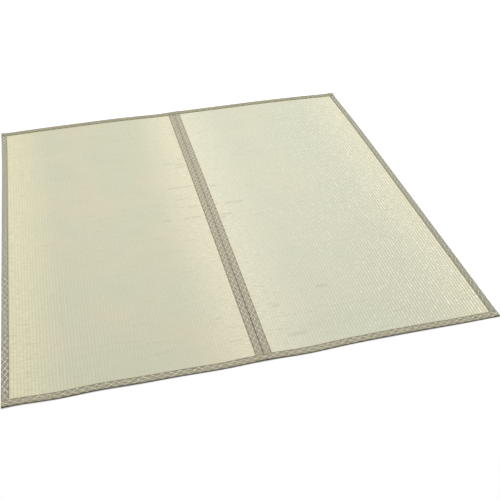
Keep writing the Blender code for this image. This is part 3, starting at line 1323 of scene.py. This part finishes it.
@dataclass
class JoiningSeam:
    """The whip stitches that hold the two panels together, down in the groove between their tapes."""

    half_length: float = 0.846
    pitch: float = 8.0 * MM
    stitch: Stitch = Stitch(2.1 * MM, 0.7 * MM, 0.7 * MM)
    depth: float = 3.3 * MM
    slant: float = math.radians(28.0)

    def build(self, lie: MatLie, finish: bpy.types.Material) -> bpy.types.Object:
        """Builds and dresses the seam.

        Args:
            lie: How the mat lies.
            finish: The thread material.

        Returns:
            The piece.
        """
        count = math.floor(2 * self.half_length / self.pitch)
        shape, stitches = self.stitch.repeat(count, self.pitch)
        turn = Matrix.Rotation(self.slant, 4, "Z")
        for along, verts in stitches:
            to_own_middle = Matrix.Translation((-along, 0.0, 0.0))
            laid = Matrix.Translation((0.0, along, self.depth)) @ turn @ to_own_middle
            for vert in verts:
                vert.co = lie.place(laid @ vert.co)
        return finish_piece("stitches_joining", shape, finish, self.stitch.sharp_angle)


@dataclass(frozen=True)
class SoftBox:
    """A soft box light, aimed at a point."""

    name: str
    place: tuple[float, float, float]
    aim: tuple[float, float, float]
    size: float
    power: float
    colour: str = "FFFFFF"

    def build(self) -> None:
        """Hangs the light."""
        light = bpy.data.lights.new(self.name, "AREA")
        light.shape = "SQUARE"
        light.size = self.size
        light.energy = self.power
        light.color = linear_colour(self.colour)[:3]
        lamp = bpy.data.objects.new(self.name, light)
        direction = Vector(self.aim) - Vector(self.place)
        turn = direction.to_track_quat("-Z", "Y").to_matrix().to_4x4()
        lamp.matrix_world = Matrix.Translation(self.place) @ turn
        bpy.context.scene.collection.objects.link(lamp)


@dataclass
class Studio:
    """The white floor, the soft light and the camera."""

    floor_half: float = 14.0
    floor_drop: float = 0.1 * MM
    ambient: str = "FFFFFF"
    ambient_strength: float = 0.60
    boxes: tuple[SoftBox, ...] = (
        SoftBox("back_soft_box", (0.8, 2.6, 8.2), (0.0, 0.0, 0.0), 2.8, 308.0),
        SoftBox("overhead_soft_box", (0.22, 0.60, 2.6), (0.22, 0.60, 0.0), 1.4, 20.5),
    )
    lens: float = 51.547
    sensor: float = 36.0
    shift_x: float = 0.04
    sees_to: float = 60.0
    azimuth: float = math.radians(-13.4527)
    elevation: float = math.radians(39.951)
    roll: float = math.radians(-0.248)
    distance: float = 2.8912
    target: tuple[float, float, float] = (0.0168, -0.2811, 0.0)

    def build_floor(self, finish: bpy.types.Material) -> None:
        """Lays the floor, which isn't part of the mat.

        Args:
            finish: The floor's material.
        """
        shape = bmesh.new()
        bmesh.ops.create_grid(shape, x_segments=1, y_segments=1, size=self.floor_half)
        bmesh.ops.translate(shape, vec=(0.0, 0.0, -self.floor_drop), verts=shape.verts)
        mesh = bpy.data.meshes.new("studio_floor")
        shape.to_mesh(mesh)
        shape.free()
        mesh.materials.append(finish)
        floor = bpy.data.objects.new("studio_floor", mesh)
        bpy.context.scene.collection.objects.link(floor)

    def build_light(self) -> None:
        """Sets the even light of the room and hangs the soft boxes."""
        world = bpy.data.worlds.new("studio_room")
        world.use_nodes = True
        world.node_tree.nodes.clear()
        even = {"Color": linear_colour(self.ambient), "Strength": self.ambient_strength}
        room = add_node(world.node_tree, "Background", even)
        add_node(world.node_tree, "OutputWorld", {"Surface": room})
        bpy.context.scene.world = world
        for box in self.boxes:
            box.build()

    def build_camera(self) -> None:
        """Sets the camera where the photograph was taken from."""
        camera = bpy.data.cameras.new("camera")
        camera.sensor_fit = "HORIZONTAL"
        camera.sensor_width = self.sensor
        camera.lens = self.lens
        camera.shift_x = self.shift_x
        camera.clip_end = self.sees_to
        level_back = Vector((math.sin(self.azimuth), -math.cos(self.azimuth), 0.0))
        back = level_back * math.cos(self.elevation) + Vector((0.0, 0.0, math.sin(self.elevation)))
        level_right = Vector((math.cos(self.azimuth), math.sin(self.azimuth), 0.0))
        level_up = back.cross(level_right)
        right = math.cos(self.roll) * level_right + math.sin(self.roll) * level_up
        up = math.cos(self.roll) * level_up - math.sin(self.roll) * level_right
        turn = Matrix((right, up, back)).transposed().to_4x4()
        holder = bpy.data.objects.new("camera", camera)
        holder.matrix_world = Matrix.Translation(Vector(self.target) + back * self.distance) @ turn
        bpy.context.scene.collection.objects.link(holder)
        bpy.context.scene.camera = holder
        bpy.context.scene.view_settings.view_transform = "Standard"


LEFT_CREASES = (
    Crease(-0.095, 0.196, 0.062, 1.1 * MM),
    Crease(-0.058, 0.385, 0.025, 0.9 * MM),
    Crease(-0.058, 0.362, 0.025, 0.8 * MM),
    Crease(-0.048, 0.428, 0.015, 0.9 * MM),
    Crease(-0.115, 0.398, 0.018, 0.8 * MM),
    Crease(-0.062, 0.040, 0.030, 1.1 * MM),
    Crease(-0.115, 0.105, 0.018, 0.8 * MM),
    Crease(-0.085, -0.036, 0.038, 0.9 * MM),
    Crease(-0.192, -0.034, 0.020, 0.7 * MM),
)
RIGHT_CREASES = (
    Crease(0.052, 0.175, 0.015, 0.9 * MM),
    Crease(0.112, 0.031, 0.045, 1.0 * MM),
    Crease(0.060, -0.045, 0.032, 0.9 * MM),
    Crease(0.043, -0.065, 0.015, 0.7 * MM),
    Crease(0.306, -0.571, 0.024, 0.9 * MM),
    Crease(0.106, -0.631, 0.016, 0.8 * MM),
    Crease(0.142, -0.784, 0.036, 0.8 * MM),
    Crease(0.440, -0.750, 0.460, 0.2 * MM, 10.0 * MM, 0.05),
)
# Where along the mat the creases lie, so that the grid is fine there.
MIDDLE_ZONE = ((-0.075, 0.45),)
FRONT_ZONES = ((-0.81, -0.72), (-0.65, -0.61), (-0.59, -0.55))

OUTER_COVER = 26.3 * MM
MIDDLE_COVER = 28.5 * MM
FRONT_COVER = 27.5 * MM
BACK_COVER = 30.5 * MM
# Painted light: the right panel's copy is paler than the left's, its ribs bolder towards its right.
LEFT_RUSH = WovenRush("igusa_rush_woven_shaded")
RIGHT_RUSH = WovenRush(
    "igusa_rush_woven_lit",
    middle="C6C7B1",
    middle_yellow="C9C7B0",
    left_ends="D4D0B8",
    right_ends="D6D2B6",
    crest_highlight="ECEADA",
    groove="9A9878",
    rib_light_share=(0.06, 0.18, 0.54),
    rib_swing=0.2,
    bead_length=11.0 * MM,
    bead_depth=0.8,
)
# Each tape is painted darker down in its fold as painted shade, the middle and front ones most.
LEFT_COTTON = PatternedTape(
    "cotton_tape_left",
    OUTER_COVER,
    slub_size=(7.0 * MM, 7.0 * MM),
    slub_swing=0.38,
    line_from=0.39,
    line_full=0.435,
    ground="645E4C",
    line="D7D2C3",
)
RIGHT_COTTON = PatternedTape("cotton_tape_right", OUTER_COVER, ground="7E7A67", line="D5D2BF")
# The middle tapes' folds meet in the seam's groove, painted dark there as shade, most at the front.
MIDDLE_COTTON = PatternedTape(
    "cotton_tape_middle",
    MIDDLE_COVER,
    fold_shade_from=0.6 * MM,
    fold_shade_full=1.5 * MM,
    fold_shade_share=0.95,
    fold_shade_at_back=0.12,
    thins_from=-0.8,
    thins_to=-0.1,
    fold_shade_pitch=12.0 * MM,
    fold_shade_least=0.1,
    line_from=0.42,
    line_full=0.46,
    ground="7B745F",
    line="E2DCC7",
    outer_shade="968F7C",
    fold_shade="2E220A",
)
FRONT_COTTON = PatternedTape(
    "cotton_tape_front",
    FRONT_COVER,
    fold_shade_from=0.8 * MM,
    fold_shade_full=1.6 * MM,
    fold_shade_share=0.95,
    slub_size=(8.0 * MM, 5.0 * MM),
    slub_swing=0.36,
    line_from=0.41,
    line_full=0.45,
    ground="706A55",
    line="DFDAC3",
    inner_shade="6C6849",
    outer_shade="7D785A",
    fold_shade="211C13",
)
BACK_COTTON = PatternedTape(
    "cotton_tape_back",
    BACK_COVER,
    fold_shade_from=0.3 * MM,
    fold_shade_full=2.2 * MM,
    slub_size=(9.0 * MM, 6.0 * MM),
    slub_swing=0.36,
    ground="706B55",
    line="CDC8AD",
    core="55503B",
    inner_shade="68644A",
    outer_shade="777257",
)


def edge_tapes() -> list[tuple[EdgeTape, PatternedTape]]:
    """Lists the six edge tapes.

    Returns:
        Each tape and its finish.
    """
    quarter, off_mat = math.pi / 2, 0.9
    crossings = (
        (-off_mat, OUTER_COVER - HALF_MAT),
        (-MIDDLE_COVER, MIDDLE_COVER),
        (HALF_MAT - OUTER_COVER, off_mat),
    )
    cut, tucked = (TapeEnds.CUT, ()), (TapeEnds.TUCKED, crossings)
    places = (
        ("left", *cut, -quarter, LEFT_COTTON),
        ("middle_left", *cut, quarter, MIDDLE_COTTON),
        ("middle_right", *cut, -quarter, MIDDLE_COTTON),
        ("right", *cut, quarter, RIGHT_COTTON),
        ("front", *tucked, 0.0, FRONT_COTTON),
        ("back", *tucked, math.pi, BACK_COTTON),
    )
    return [
        (EdgeTape(place, ends, finish.cover, turn, crossed, seed), finish)
        for seed, (place, ends, crossed, turn, finish) in enumerate(places, start=1)
    ]


def build_mat(lie: MatLie) -> None:
    """Builds the two panels, their tapes and the sewing.

    Args:
        lie: How the mat lies.
    """
    rush = {Side.LEFT: LEFT_RUSH.material(), Side.RIGHT: RIGHT_RUSH.material()}
    thread = SewingThread().material()
    panels = (
        RushPanel(Side.LEFT, LEFT_CREASES, MIDDLE_ZONE),
        RushPanel(Side.RIGHT, RIGHT_CREASES, MIDDLE_ZONE + FRONT_ZONES),
    )
    woven = [panel.build(lie, rush[panel.side]) for panel in panels]
    tapes = edge_tapes()
    cloth = {finish: finish.material() for finish in dict.fromkeys(finish for _, finish in tapes)}
    for tape, finish in tapes:
        piece = tape.build(lie, cloth[finish])
        stitches = StitchRow(tape).build(lie, thread)
    JoiningSeam().build(lie, thread)


def main() -> None:
    """Builds the mat and the studio."""
    logging.basicConfig(level=logging.INFO, format="%(name)s: %(message)s", stream=sys.stdout)
    studio = Studio()
    studio.build_floor(PaintedFloor().material())
    studio.build_light()
    studio.build_camera()
    build_mat(MatLie())


if __name__ == "__main__":
    main()
